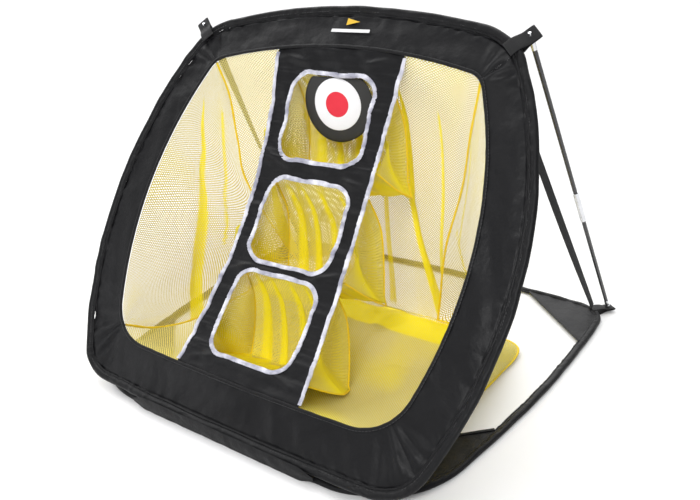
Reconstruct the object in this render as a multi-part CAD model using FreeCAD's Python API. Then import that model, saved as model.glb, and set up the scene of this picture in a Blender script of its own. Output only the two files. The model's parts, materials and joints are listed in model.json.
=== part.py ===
import FreeCAD, Part
import math
import os
from FreeCAD import Rotation, Vector

# Pop-up golf chipping net, in millimetres. +X is the player's right, +Y runs back from the
# hitting side and +Z is up. The origin is on the ground, under the seam that joins the two hoops.

# ---- stance ------------------------------------------------------------------------------
LEAN_DEG = 55.5            # front hoop above the ground
HINGE_Z = 15.0             # height of the line that the front hoop turns about
FRONT_SLEEVE_R = 5.5       # rounded hem of the front hoop
BASE_SLEEVE_R = 4.5        # rounded hem of the base hoop
BASE_Z = 4.0               # centre of the base hem, which is flattened where it rests
SLEEVE_BORE_R = 2.6
SPRING_R = 1.25            # spring steel wire in the hems
CRIMP_R = 2.3
CRIMP_LENGTH = 26.0
CLOTH = 1.2                # thickness of one layer of nylon
MESH = 1.2                 # thickness given to the yellow netting
GAP = 0.4                  # clearance between sewn neighbours
BINDING = 2.4              # a folded edge, two layers thick
CUTTER = 120.0             # thickness of the slabs that only trim other shapes

# ---- hoop outlines: heights are along the hoop, from its front or bottom edge ---------------
FRONT = dict(low=0.0, high=580.0, half_width=322.0, widest=260.0, low_bow=5600.0, side_bow=549.0,
             high_bow=891.0, low_corner=67.0, high_corner=87.0)
BASE = dict(low=0.0, high=592.5, half_width=319.0, widest=500.0, low_bow=3400.0, side_bow=2010.0,
            high_bow=2800.0, low_corner=125.0, high_corner=54.0)
OPENING = dict(low=66.0, high=520.0, half_width=258.0, widest=270.0, low_bow=5000.0, side_bow=520.0,
               high_bow=800.0, low_corner=68.0, high_corner=30.0)
OPENING_CORNER_LOW = (211.0, 96.0)      # where the border's mitre seams start
OPENING_CORNER_HIGH = (212.0, 491.0)
MITRE_LOW = (247.0, 60.5)               # and a point that each seam runs through
MITRE_HIGH = (240.0, 520.0)
OPENING_BINDING = 4.0

# ---- centre column with its three windows ----------------------------------------------------
COLUMN_HALF_WIDTH = 106.0
COLUMN_WAIST = 93.0        # half width at mid height, where the strip is pulled in
COLUMN_SAG = 30.0          # how far the strip hangs back at mid height
COLUMN_OVERRUN = 10.0      # the strip runs this far behind the border before it is trimmed
TAPE = 6.0                 # white edge tape and window binding
WINDOW_HEIGHTS = dict(top=427.0, middle=283.0, bottom=151.0)
WINDOW_WIDTH = 128.0
WINDOW_HEIGHT = 113.0
WINDOW_CORNER = 28.0

# ---- net bag and ball pockets -------------------------------------------------------------------
POCKET_HALF_WIDTH = 98.0
POCKET_HEM_ABOVE = 8.0     # sewn this far above and below its window
POCKET_HEM_BELOW = 3.0
POCKET_HEM_BACK = 6.0      # and this far behind the strip, at the top and at the bottom
POCKET_FOOT_BACK = 4.0
POCKETS = dict(top=(40.0, 70.0, 34.0, 168.0), middle=(40.0, 70.0, 32.0, 176.0),
               bottom=(28.0, 60.0, 14.0, 155.0))    # back and down to the bend, then to the toe
BAG_TOP = (207.0, 292.0, 428.0)
BAG_BENDS = ((342.0, 322.0), (347.0, 180.0))
BAG_TOE = (113.0, 400.0, 6.0)           # where the upright seam reaches the ground
BAG_HEEL = (236.0, 388.0, 6.0)          # rear corner of the bag's floor
BAG_WIDEST = (255.0, 290.0)             # across, and along the hoop, beside the widest border
BAG_LIP = (228.0, 55.0, 62.0)
BAG_FLOOR_Z = 3.0
BAG_FLOOR_START = (232.0, 190.0)        # the floor slopes down from the border to here
BAG_FLOOR_SAG = (108.0, 19.0)           # through this point, back and up

# ---- hanging target -------------------------------------------------------------------------------
TARGET_Y = 283.4
TARGET_Z = 366.0
TARGET_TOP_Z = 402.0
TARGET_R = 51.8
WHITE_R = 35.2
RED_R = 17.2
BOARD = 1.2
PRINT = 0.4
HANGING_TAPE = (60.0, 5.0)              # width and height

# ---- corner tabs, eyelets, poles and straps ---------------------------------------------------------
FRONT_EYELET = (255.0, 545.0)           # across, and along the front hoop
REAR_EYELET = (316.0, 578.0)
REAR_TAB_Z = 5.8
TAB_THICK = 1.6
FRONT_TAB_AIM = (161.0, 441.0)          # the tab points away from here
FRONT_TAB = (24.0, 50.0, 11.0)          # width, reach inwards and reach past the eyelet
REAR_TAB = (22.0, 40.0, 10.0)
EYELET_HOLE_R = 3.4
EYELET_R = 6.0
EYELET_HEIGHT = 2.6
POLE_R = 3.0
POLE_BORE_R = 1.6
CORD_R = 1.1
FOOT_R = 4.0
FOOT_Z = 11.0
CAP_R = 3.5
CAP_LENGTH = 14.0
CAP_SOCKET = 7.0           # depth of pole inside the foot cap
CAP_WALL = 2.0             # closed end of the tip cap
FERRULE_R = 4.1
FERRULE_START = 0.40                    # as fractions of the pole's length, from the foot
FERRULE_END = 0.51
NUB_R = 2.0
NUB_BELOW = 4.2
NUB_ABOVE = 5.0
SLIDE = 0.05                            # radial clearance of tube fits
STRAP_WIDTH = 12.0
STRAP_THICK = 1.5
STRAP_FOOT = (298.0, 556.0, 14.0)
STRAP_HEAD = (226.0, 520.0, 9.0)        # across, along the front hoop and behind it

# ---- base corner gussets and the seam between the hoops ----------------------------------------------
FRONT_GUSSET = 225.0
REAR_GUSSET = 145.0
GUSSET_Z = 1.0
GUSSET_THICK = 1.0
SEAM_HALF_WIDTH = 150.0

X_AXIS = Vector(1, 0, 0)
Y_AXIS = Vector(0, 1, 0)
Z_AXIS = Vector(0, 0, 1)
FAR = 900.0
NODES = {}


def circle_meet(centre_a, radius_a, centre_b, radius_b, near):
    """Where two circles cross, on the side of a given point."""
    span = centre_b.sub(centre_a)
    reach = (radius_a ** 2 - radius_b ** 2 + span.Length ** 2) / (2 * span.Length)
    height = math.sqrt(radius_a ** 2 - reach ** 2)
    along = Vector(span).normalize()
    foot = centre_a.add(along * reach)
    across = Vector(-along.y, along.x, 0) * height
    return min((foot.add(across), foot.sub(across)), key=lambda point: point.sub(near).Length)


def towards(start, through, distance):
    return start.add(through.sub(start).normalize() * distance)


def hoop_wire(size, inset=0.0):
    """Closed outline of four bowed sides and four rounded corners, moved inwards by inset."""
    low, high, half = size["low"] + inset, size["high"] - inset, size["half_width"] - inset
    low_r, high_r, side_r = (size[name] - inset for name in ("low_bow", "high_bow", "side_bow"))
    corner_low, corner_high = size["low_corner"] - inset, size["high_corner"] - inset
    low_centre = Vector(0, low + low_r, 0)
    high_centre = Vector(0, high - high_r, 0)
    side_centre = Vector(half - side_r, size["widest"], 0)
    knuckle_low = circle_meet(low_centre, low_r - corner_low, side_centre, side_r - corner_low,
                              Vector(half, low, 0))
    knuckle_high = circle_meet(high_centre, high_r - corner_high, side_centre, side_r - corner_high,
                               Vector(half, high, 0))
    points = [Vector(0, low, 0), towards(low_centre, knuckle_low, low_r),
              towards(side_centre, knuckle_low, side_r), towards(side_centre, knuckle_high, side_r),
              towards(high_centre, knuckle_high, high_r), Vector(0, high, 0)]
    centres = [(low_centre, low_r), (knuckle_low, corner_low), (side_centre, side_r),
               (knuckle_high, corner_high), (high_centre, high_r)]
    right, left = [], []
    for start, end, (centre, radius) in zip(points, points[1:], centres):
        middle = towards(centre, (start + end) * 0.5, radius)
        right.append(Part.Arc(start, middle, end).toShape())
        mirrored = [Vector(-point.x, point.y, 0) for point in (end, middle, start)]
        left.insert(0, Part.Arc(*mirrored).toShape())
    return Part.Wire(right + left)


def slab(wire, thickness):
    """Flat solid of a closed outline, half its thickness each side of the outline's plane."""
    face = Part.Face(wire)
    normal = Z_AXIS * thickness
    face.translate(normal * -0.5)
    return face.extrude(normal)


def polygon(points):
    corners = [Vector(*point) for point in points]
    return Part.makePolygon(corners + corners[:1])


def prism_x(profile, half_width):
    """Solid of a side profile in Y and Z, as wide as twice half_width."""
    face = Part.Face(polygon([(-half_width, y, z) for y, z in profile]))
    return face.extrude(X_AXIS * (2 * half_width))


def plate(points, thickness):
    """Flat plate through the points, half its thickness each side of them."""
    face = Part.Face(polygon(points))
    first, second, third = (Vector(*point) for point in points[:3])
    normal = second.sub(first).cross(third.sub(first)).normalize() * thickness
    face.translate(normal * -0.5)
    return face.extrude(normal)


def beyond_plane(points):
    """A large block on the side of a plane that its three points turn about."""
    first, second, third = (Vector(*point) for point in points)
    normal = second.sub(first).cross(third.sub(first)).normalize()
    block = Part.makeBox(2 * FAR, 2 * FAR, FAR, Vector(-FAR, -FAR, 0))
    block.Placement = FreeCAD.Placement(first, Rotation(Z_AXIS, normal))
    return block


def tube_along(wire, radius, bore=0.0):
    """Round hem or wire that follows a flat closed outline through its lowest point."""
    start = Vector(0, wire.BoundBox.YMin, 0)
    solid = ring_sweep(wire, start, radius)
    return solid.cut(ring_sweep(wire, start, bore)) if bore else solid


def ring_sweep(wire, start, radius):
    section = Part.Wire(Part.makeCircle(radius, start, X_AXIS))
    shell = Part.BRepOffsetAPI.MakePipeShell(wire)
    shell.setBiNormalMode(Z_AXIS)
    shell.add(section)
    shell.build()
    shell.makeSolid()
    return shell.shape()


def on_front(x, along, back=0.0):
    """A point of the leaning hoop's plane: across, along it from its foot, and behind it."""
    lean = math.radians(LEAN_DEG)
    up = along - FRONT_SLEEVE_R
    return Vector(x, up * math.cos(lean) + back * math.sin(lean),
                  HINGE_Z + up * math.sin(lean) - back * math.cos(lean))


def stand_up(shape):
    """Move a shape drawn flat, with Y along the hoop, to the leaning plane."""
    placed = shape.copy()
    placed.translate(Vector(0, -FRONT_SLEEVE_R, 0))
    placed.rotate(Vector(0, 0, 0), X_AXIS, LEAN_DEG)
    placed.translate(Vector(0, 0, HINGE_Z))
    return placed


def lay_down(shape):
    """Move a shape drawn flat to the base hoop's plane, whose front hem is centred on X."""
    placed = shape.copy()
    placed.translate(Vector(0, -BASE_SLEEVE_R, BASE_Z))
    return placed


def mirror(shape):
    return shape.mirror(Vector(0, 0, 0), X_AXIS)


def add(name, shape):
    NODES[name] = shape.removeSplitter()


def add_pair(name, right_shape):
    add("right_" + name, right_shape)
    add("left_" + name, mirror(right_shape))


def cylinder_between(start, end, radius):
    line = end.sub(start)
    return Part.makeCylinder(radius, line.Length, start, line)


# ---- hoops, hems and crimps --------------------------------------------------------------------
def crimp(height):
    start = Vector(-CRIMP_LENGTH / 2, height, 0)
    outside = Part.makeCylinder(CRIMP_R, CRIMP_LENGTH, start, X_AXIS)
    return outside.cut(Part.makeCylinder(SPRING_R + SLIDE, CRIMP_LENGTH, start, X_AXIS))


def build_hoops():
    front_line = hoop_wire(FRONT, FRONT_SLEEVE_R)
    add("front_spring_hoop", stand_up(tube_along(front_line, SPRING_R)))
    add("front_hoop_sleeve", stand_up(tube_along(front_line, FRONT_SLEEVE_R, SLEEVE_BORE_R)))
    add("front_spring_crimp", stand_up(crimp(FRONT_SLEEVE_R)))
    base_line = hoop_wire(BASE, BASE_SLEEVE_R)
    add("base_spring_hoop", lay_down(tube_along(base_line, SPRING_R)))
    sleeve = lay_down(tube_along(base_line, BASE_SLEEVE_R, SLEEVE_BORE_R))
    ground = Part.makeBox(2 * FAR, 2 * FAR, FAR, Vector(-FAR, -FAR, -FAR))
    add("base_hoop_sleeve", sleeve.cut(ground))
    add("base_spring_crimp", lay_down(crimp(BASE["high"] - BASE_SLEEVE_R)))


def build_seam():
    face_y = -FRONT_SLEEVE_R - GAP - CLOTH
    size = Vector(2 * SEAM_HALF_WIDTH, CLOTH, HINGE_Z + BASE_Z)
    corner = Vector(-SEAM_HALF_WIDTH, face_y, BASE_Z / 2)
    add("hoop_joining_tape", Part.makeBox(size.x, size.y, size.z, corner))


# ---- front border ---------------------------------------------------------------------------------
def seam_ray(corner, through):
    """A point far out along a mitre seam."""
    return towards(Vector(*corner), Vector(*through), FAR)


def build_border():
    outer = slab(hoop_wire(FRONT, 2 * FRONT_SLEEVE_R + GAP), CLOTH)
    ring = outer.cut(slab(hoop_wire(OPENING, -OPENING_BINDING - GAP), CUTTER))
    low, high = OPENING_CORNER_LOW, OPENING_CORNER_HIGH
    low_far, high_far = seam_ray(low, MITRE_LOW), seam_ray(high, MITRE_HIGH)
    half = GAP / 2
    above = [(-high[0], high[1] + half), (high[0], high[1] + half), (high_far.x, high_far.y + half),
             (-high_far.x, high_far.y + half)]
    below = [(-low[0], low[1] - half), (low[0], low[1] - half), (low_far.x, low_far.y - half),
             (-low_far.x, low_far.y - half)]
    beside = [(low[0] + half, low[1]), (high[0] + half, high[1]), (high_far.x + half, high_far.y),
              (low_far.x + half, low_far.y)]
    for name, outline in (("top", above), ("bottom", below), ("right", beside)):
        sector = slab(polygon([(x, y, 0) for x, y in outline]), CUTTER)
        panel = ring.common(sector)
        add("border_" + name, stand_up(panel))
        if name == "right":
            add("border_left", stand_up(mirror(panel)))
    binding = slab(hoop_wire(OPENING, -OPENING_BINDING), BINDING)
    add("opening_binding", stand_up(binding.cut(slab(hoop_wire(OPENING), CUTTER))))


# ---- centre column ----------------------------------------------------------------------------------
def column_sheet(thickness):
    """The strip's sagging surface, as a curved sheet much wider than the strip."""
    low, high = OPENING["low"], OPENING["high"]
    middle = (low + high) / 2
    rise = thickness / 2
    front_arc = Part.Arc(Vector(-FAR, low, rise), Vector(-FAR, middle, rise - COLUMN_SAG),
                         Vector(-FAR, high, rise)).toShape()
    back_arc = Part.Arc(Vector(-FAR, high, -rise), Vector(-FAR, middle, -rise - COLUMN_SAG),
                        Vector(-FAR, low, -rise)).toShape()
    ends = [Part.makeLine(Vector(-FAR, high, rise), Vector(-FAR, high, -rise)),
            Part.makeLine(Vector(-FAR, low, -rise), Vector(-FAR, low, rise))]
    return Part.Face(Part.Wire([front_arc, ends[0], back_arc, ends[1]])).extrude(X_AXIS * (2 * FAR))


def column_plan(inset):
    """The strip seen square on: straight ends and waisted sides."""
    low, high = OPENING["low"] - COLUMN_OVERRUN, OPENING["high"] + COLUMN_OVERRUN
    wide, waist = COLUMN_HALF_WIDTH - inset, COLUMN_WAIST - inset
    middle = (low + high) / 2
    edges = [Part.makeLine(Vector(-wide, low, 0), Vector(wide, low, 0)),
             Part.Arc(Vector(wide, low, 0), Vector(waist, middle, 0), Vector(wide, high, 0)).toShape(),
             Part.makeLine(Vector(wide, high, 0), Vector(-wide, high, 0)),
             Part.Arc(Vector(-wide, high, 0), Vector(-waist, middle, 0), Vector(-wide, low, 0)).toShape()]
    return slab(Part.Wire(edges), CUTTER)


def window_plan(height, grow):
    half_w, half_h = WINDOW_WIDTH / 2 + grow, WINDOW_HEIGHT / 2 + grow
    corner = Vector(-half_w, height - half_h, -CUTTER / 2)
    box = Part.makeBox(2 * half_w, 2 * half_h, CUTTER, corner)
    upright = [edge for edge in box.Edges if edge.BoundBox.ZLength > CUTTER / 2]
    return box.makeFillet(WINDOW_CORNER + grow, upright)


def build_column():
    opening = slab(hoop_wire(OPENING, GAP), CUTTER)
    strip = column_sheet(CLOTH).common(opening)
    trim = column_sheet(BINDING).common(opening)
    panel = strip.common(column_plan(TAPE + GAP / 2))
    for name, height in WINDOW_HEIGHTS.items():
        panel = panel.cut(window_plan(height, TAPE + GAP / 2))
        ring = window_plan(height, TAPE).cut(window_plan(height, 0))
        add("window_binding_" + name, stand_up(trim.common(ring)))
    add("column_panel", stand_up(panel))
    edges = trim.common(column_plan(0).cut(column_plan(TAPE)))
    for solid in edges.Solids:
        side = "right" if solid.CenterOfMass.x > 0 else "left"
        add("column_tape_" + side, stand_up(solid))


# ---- ball pockets and net bag --------------------------------------------------------------------
def column_depth(along):
    """How far back the strip hangs at a height along the hoop."""
    low, high = OPENING["low"], OPENING["high"]
    middle = (low + high) / 2
    bow = ((high - low) ** 2 / 4 + COLUMN_SAG ** 2) / (2 * COLUMN_SAG)
    return COLUMN_SAG - bow + math.sqrt(bow ** 2 - (along - middle) ** 2)


def build_pockets():
    for name, height in WINDOW_HEIGHTS.items():
        top = height + WINDOW_HEIGHT / 2 + POCKET_HEM_ABOVE
        foot = height - WINDOW_HEIGHT / 2 - POCKET_HEM_BELOW
        hung = on_front(0, top, column_depth(top) + POCKET_HEM_BACK)
        sewn = on_front(0, foot, column_depth(foot) + POCKET_FOOT_BACK)
        back, down, toe_back, toe_down = POCKETS[name]
        bend = (hung.y + back, hung.z - down)
        toe = (hung.y + toe_back, hung.z - toe_down)
        profile = [(hung.y, hung.z), bend, toe, (sewn.y, sewn.z)]
        bag = prism_x(profile, POCKET_HALF_WIDTH)
        outline = Part.Face(polygon([(0, y, z) for y, z in profile]))
        hollow = outline.makeOffset2D(-MESH)
        half = POCKET_HALF_WIDTH - MESH
        hollow.translate(X_AXIS * -half)
        inside = hollow.extrude(X_AXIS * (2 * half))
        mouth = inside.copy()
        mouth.translate(on_front(0, 0, -2 * MESH).sub(on_front(0, 0)))
        add("ball_pocket_" + name, bag.cut(inside).cut(mouth))


def build_net_bag():
    """Back curtain, floor and two sides of the loose net behind the opening."""
    top_x, top_y, top_z = BAG_TOP
    _, toe_y, toe_z = BAG_TOE
    start_y = BAG_FLOOR_START[1]
    widest = tuple(on_front(*BAG_WIDEST, 2 * MESH + CLOTH))
    edge = [BAG_LIP, (*BAG_FLOOR_START, toe_z), BAG_HEEL, BAG_TOE, BAG_TOP]
    panels = [plate((widest, start, end), MESH) for start, end in zip(edge, edge[1:])]
    add_pair("net_side", panels[0].fuse(panels[1:]))
    clear_of_side = beyond_plane((widest, BAG_TOE, BAG_TOP))
    clear_of_side.translate(X_AXIS * -(GAP + MESH))
    line = [(top_y, top_z), *BAG_BENDS, (toe_y, toe_z)]
    rear = [(y + MESH, z) for y, z in reversed(line)]
    curtain = prism_x(line + rear, top_x)
    for cutter in (clear_of_side, mirror(clear_of_side)):
        curtain = curtain.cut(cutter)
    add("net_back", curtain)
    sewn = on_front(0, OPENING["low"], 2 * MESH)
    under = [(sewn.y, sewn.z), BAG_FLOOR_SAG, (start_y, BAG_FLOOR_Z), (toe_y - MESH, BAG_FLOOR_Z)]
    over = [(y + MESH / 2, z + MESH) for y, z in reversed(under)]
    right_edge = [(x - 2 * MESH, y - MESH, 0) for x, y, *z in edge[:4]]
    left_edge = [(-x, y, z) for x, y, z in reversed(right_edge)]
    front_x = right_edge[0][0]
    plan = [(front_x, 0, 0), *right_edge, *left_edge, (-front_x, 0, 0)]
    footprint = slab(polygon(plan), CUTTER)
    add("net_floor", prism_x(under + over, BAG_HEEL[0]).common(footprint))


# ---- hanging target --------------------------------------------------------------------------------
def target_disc(radius, front, thickness):
    return Part.makeCylinder(radius, thickness, Vector(0, TARGET_Y + front, TARGET_Z), Y_AXIS)


def build_target():
    above = Part.makeBox(FAR, FAR, FAR, Vector(-FAR / 2, 0, TARGET_TOP_Z))
    board_front = -BOARD / 2
    add("target_board", target_disc(TARGET_R, board_front, BOARD).cut(above))
    print_front = board_front - PRINT
    red = target_disc(RED_R, print_front, PRINT)
    hole = target_disc(RED_R + SLIDE, print_front, PRINT)
    add("target_white_ring", target_disc(WHITE_R, print_front, PRINT).cut(hole))
    add("target_red_centre", red)
    width, height = HANGING_TAPE
    corner = Vector(-width / 2, TARGET_Y + board_front, TARGET_TOP_Z + GAP)
    add("target_hanging_tape", Part.makeBox(width, BOARD, height, corner))


# ---- corner tabs and eyelets --------------------------------------------------------------------------
def corner_tab(size, eyelet, corner_centre, hoop):
    """Webbing tab drawn flat: it leaves the hem at the corner and carries the eyelet."""
    width, reach_in, reach_out = size
    hole = Vector(eyelet[0], eyelet[1], 0)
    angle = math.degrees(math.atan2(hole.y - corner_centre[1], hole.x - corner_centre[0]))
    corner = Vector(-reach_in, -width / 2, -TAB_THICK / 2)
    tab = Part.makeBox(reach_in + reach_out, width, TAB_THICK, corner)
    tab.rotate(Vector(0, 0, 0), Z_AXIS, angle)
    tab.translate(hole)
    tab = tab.cut(slab(hoop_wire(hoop, -GAP), CUTTER))
    return tab.cut(Part.makeCylinder(EYELET_R, CUTTER, hole - Z_AXIS * (CUTTER / 2)))


def eyelet_ring(eyelet):
    base = Vector(eyelet[0], eyelet[1], -EYELET_HEIGHT / 2)
    ring = Part.makeCylinder(EYELET_R - SLIDE, EYELET_HEIGHT, base)
    return ring.cut(Part.makeCylinder(EYELET_HOLE_R, EYELET_HEIGHT, base))


def build_tabs():
    add_pair("front_tab", stand_up(corner_tab(FRONT_TAB, FRONT_EYELET, FRONT_TAB_AIM, FRONT)))
    add_pair("front_eyelet", stand_up(eyelet_ring(FRONT_EYELET)))
    flat_hole = (REAR_EYELET[0], REAR_EYELET[1] + BASE_SLEEVE_R)
    rear_centre = (BASE["half_width"] - BASE["high_corner"], BASE["high"] - BASE["high_corner"])
    tab = lay_down(corner_tab(REAR_TAB, flat_hole, rear_centre, BASE))
    ring = lay_down(eyelet_ring(flat_hole))
    for shape in (tab, ring):
        shape.translate(Z_AXIS * (REAR_TAB_Z - BASE_Z))
    add_pair("rear_tab", tab)
    add_pair("rear_eyelet", ring)


# ---- poles and straps -----------------------------------------------------------------------------------
def build_pole():
    foot = Vector(*REAR_EYELET, FOOT_Z)
    line = on_front(*FRONT_EYELET).sub(foot)
    along = Vector(line).normalize()

    def rod(start, end, radius):
        """Round rod between two distances up the pole's line from its foot."""
        return cylinder_between(foot.add(along * start), foot.add(along * end), radius)

    ferrule_low, ferrule_high = line.Length * FERRULE_START, line.Length * FERRULE_END
    lower = (CAP_SOCKET, ferrule_high - GAP)
    shoulder = line.Length - NUB_BELOW
    upper = (ferrule_high + GAP, shoulder - CAP_WALL)
    foot_cap = Part.makeSphere(FOOT_R, foot).fuse(rod(0, CAP_LENGTH, CAP_R))
    add_pair("pole_foot_cap", foot_cap.cut(rod(CAP_SOCKET, CAP_LENGTH, POLE_R + SLIDE)))
    for name, ends in (("lower", lower), ("upper", upper)):
        add_pair(f"pole_{name}_section", rod(*ends, POLE_R).cut(rod(*ends, POLE_BORE_R)))
        add_pair(f"pole_{name}_cord", rod(*ends, CORD_R))
    ferrule = rod(ferrule_low, ferrule_high, FERRULE_R)
    add_pair("pole_ferrule", ferrule.cut(rod(ferrule_low, ferrule_high, POLE_R + SLIDE)))
    tip = rod(shoulder - CAP_LENGTH, shoulder, CAP_R)
    tip = tip.fuse(rod(shoulder, line.Length + NUB_ABOVE, NUB_R))
    add_pair("pole_tip_cap", tip.cut(rod(shoulder - CAP_LENGTH, shoulder - CAP_WALL, POLE_R + SLIDE)))


def build_straps():
    low = Vector(*STRAP_FOOT)
    high = on_front(*STRAP_HEAD)
    across = X_AXIS.cross(high.sub(low)).normalize() * (STRAP_WIDTH / 2)
    corners = [low.sub(across), low.add(across), high.add(across), high.sub(across)]
    add_pair("brace_strap", plate([tuple(corner) for corner in corners], STRAP_THICK))


# ---- base corner gussets --------------------------------------------------------------------------
def build_gussets():
    inside = slab(hoop_wire(BASE, 2 * BASE_SLEEVE_R + GAP), GUSSET_THICK)
    width, depth = BASE["half_width"], BASE["high"]
    triangles = dict(front=[(width - FRONT_GUSSET, 0), (width, 0), (width, FRONT_GUSSET)],
                     rear=[(width - REAR_GUSSET, depth), (width, depth), (width, depth - REAR_GUSSET)])
    for name, points in triangles.items():
        triangle = slab(polygon([(x, y, 0) for x, y in points]), CUTTER)
        gusset = inside.common(triangle)
        gusset.translate(Vector(0, -BASE_SLEEVE_R, GUSSET_Z + GUSSET_THICK / 2))
        add_pair(name + "_gusset", gusset)


def main():
    build_hoops()
    build_seam()
    build_border()
    build_column()
    build_pockets()
    build_net_bag()
    build_target()
    build_tabs()
    build_pole()
    build_straps()
    build_gussets()
    os.makedirs("parts", exist_ok=True)
    for name, shape in NODES.items():
        solids = shape.Solids
        print(name, "solids", len(solids), "valid", shape.isValid(), "volume", round(shape.Volume))
        shape.exportStep("parts/" + name + ".step")


main()
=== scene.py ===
import json
import math

import bpy
import numpy as np
from mathutils import Matrix, Vector
from mathutils.geometry import delaunay_2d_cdt


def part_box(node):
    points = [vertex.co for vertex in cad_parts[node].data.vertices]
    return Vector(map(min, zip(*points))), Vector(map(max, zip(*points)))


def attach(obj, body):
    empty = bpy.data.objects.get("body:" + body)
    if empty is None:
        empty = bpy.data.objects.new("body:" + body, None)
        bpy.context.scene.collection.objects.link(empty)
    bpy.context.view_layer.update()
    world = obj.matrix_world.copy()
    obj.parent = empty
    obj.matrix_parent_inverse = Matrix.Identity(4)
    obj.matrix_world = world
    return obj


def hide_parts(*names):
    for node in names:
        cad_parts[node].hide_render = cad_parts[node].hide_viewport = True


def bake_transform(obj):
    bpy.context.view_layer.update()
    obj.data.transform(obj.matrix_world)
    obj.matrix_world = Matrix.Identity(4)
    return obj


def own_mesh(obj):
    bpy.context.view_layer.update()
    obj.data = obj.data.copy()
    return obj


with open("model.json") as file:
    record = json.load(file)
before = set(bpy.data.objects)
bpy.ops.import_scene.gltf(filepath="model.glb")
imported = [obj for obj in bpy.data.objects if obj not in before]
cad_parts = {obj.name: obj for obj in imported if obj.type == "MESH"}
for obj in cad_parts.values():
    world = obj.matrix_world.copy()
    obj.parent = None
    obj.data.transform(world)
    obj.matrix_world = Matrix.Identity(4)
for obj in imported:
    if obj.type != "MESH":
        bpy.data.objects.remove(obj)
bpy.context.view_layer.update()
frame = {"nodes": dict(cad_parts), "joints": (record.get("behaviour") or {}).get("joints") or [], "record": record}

# Pop-up golf chipping net, in metres. Flat shapes are drawn on one of two planes, the leaning
# front hoop's and the ground's: x across, s up the slope or back along the ground, b behind.
MM = 0.001
SIDES = {"left": -1, "right": 1}
FRONT_HINGE = next(joint for joint in frame["joints"] if joint["name"] == "front_fold")["pos_m"]

# ---- camera and light ----
CAMERA_AT = (0.5388, -0.4813, 0.5491)
CAMERA_YAW, CAMERA_PITCH, CAMERA_ROLL = -34.558, 23.007, -2.092
CAMERA_LENS, SENSOR = 35.51, 36.0
LIGHTS_AIM = (0, 0.25, 0.15)
LIGHTS = {"key_light": ((-1.5, 0.4, 1.7), 0.5, 3),          # place, size in m and power in W
          "fill_light": ((0.8, -1.7, 1.7), 0.8, 36),
          "low_light": ((-1.6, -1.4, 0.7), 0.4, 5)}
SKY_BRIGHT_FROM = (-0.45, 0.45, 0.77)
SKY_FOCUS, SKY_GLOW, SKY_FILL = 3.0, 2.8, 0.24
FLOOR_REACH = 40.0

# ---- cloth ----
STEP = 3.0 * MM                  # spacing of the cloth's vertices
HEM_OUT, HEM_IN = 5.3 * MM, 7.2 * MM      # hem's reach outside and inside its wire
HEM_HALF = 4.6 * MM
BASE_HEM_HALF = 3.9 * MM
BINDING_WIDTH = 5.0 * MM
MARK_PROUD = 2.6 * MM            # the mark's ink stands clear of the border's ripples
BEHIND_BORDER = 3.4 * MM         # the net is sewn this far behind the border
NET_PITCH = 2.1 * MM
NYLON_THREAD, PRINT_THREAD = 0.8 * MM, 0.9 * MM
STITCH_PITCH = 4.2 * MM
STITCH_HALF = (1.5 * MM, 0.35 * MM, 0.25 * MM)      # half of a stitch's length, width and height
TARGET_TURN = 0.11               # the limp tape lets the target face a little towards the right


# ---- small maths ----
def smooth(t):
    t = np.clip(t, 0, 1)
    return t * t * (3 - 2 * t)


def hump(t):
    """0 at t = 0 and 1, and 1 halfway."""
    return np.sin(np.pi * t)


def ripple(seed, along, across=0.0, period=64):
    """Smooth random height from -1 to 1, with one bump for each unit of along and across."""
    table = np.random.default_rng(seed).uniform(-1, 1, (period, 64))
    along, across = np.broadcast_arrays(np.asarray(along, float), np.asarray(across, float))
    i, j = np.floor(along).astype(int), np.floor(across).astype(int)
    f, g = smooth(along - i), smooth(across - j)
    low, high = (table[i % period, k % 64] * (1 - f) + table[(i + 1) % period, k % 64] * f
                 for k in (j, j + 1))
    return low * (1 - g) + high * g


def looped(seed, length, pitch, along, across=0.0):
    """A ripple that closes on itself round a loop. Along runs from 0 to 1."""
    bumps = round(length / pitch)
    return ripple(seed, along * bumps, across, bumps)


def ridge(x, s, start, end, width, height):
    """A soft crease along a line on a plane."""
    start, end = np.array(start), np.array(end)
    run = end - start
    t = np.clip(((x - start[0]) * run[0] + (s - start[1]) * run[1]) / (run @ run), 0, 1)
    off = np.hypot(x - start[0] - t * run[0], s - start[1] - t * run[1])
    return height * np.exp(-(off / width) ** 2) * hump(np.clip(t, 0.04, 0.96))


def lengths(line):
    return np.concatenate([[0], np.cumsum(np.linalg.norm(np.diff(line, axis=0), axis=1))])


def evenly(line, count, closed=False):
    """The same line with evenly spaced points."""
    line = np.vstack([line, line[:1]]) if closed else np.asarray(line, float)
    run = lengths(line)
    wanted = np.linspace(0, run[-1], count, endpoint=not closed)
    return np.stack([np.interp(wanted, run, line[:, axis]) for axis in range(line.shape[1])], 1)


def through(points, count):
    """A smooth curve through a few points, evenly spaced."""
    knots = np.asarray(points, float)
    knots = np.vstack([2 * knots[0] - knots[1], knots, 2 * knots[-1] - knots[-2]])
    t = np.linspace(0, 1, 24, endpoint=False)[:, None]
    made = []
    for a, b, c, d in zip(knots, knots[1:], knots[2:], knots[3:]):
        made.append(0.5 * (2 * b + (c - a) * t + (2 * a - 5 * b + 4 * c - d) * t ** 2
                           + (3 * b - a - 3 * c + d) * t ** 3))
    return evenly(np.vstack(made + [knots[-2][None]]), count)


def unit(vectors):
    return vectors / np.maximum(np.linalg.norm(vectors, axis=-1, keepdims=True), 1e-12)


def crossed(u, v):
    """A grid of pairs, with u down its rows and v across its columns."""
    return np.stack(np.broadcast_arrays(u[:, None], v[None]), -1)


# ---- places, read from the frame ----
def node_table(name, table, field, kind, width):
    rows = getattr(frame["nodes"][name].data, table)
    found = np.empty(len(rows) * width, kind)
    rows.foreach_get(field, found)
    return found.reshape(-1, width)


def node_points(name):
    return node_table(name, "vertices", "co", float, 3)


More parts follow.
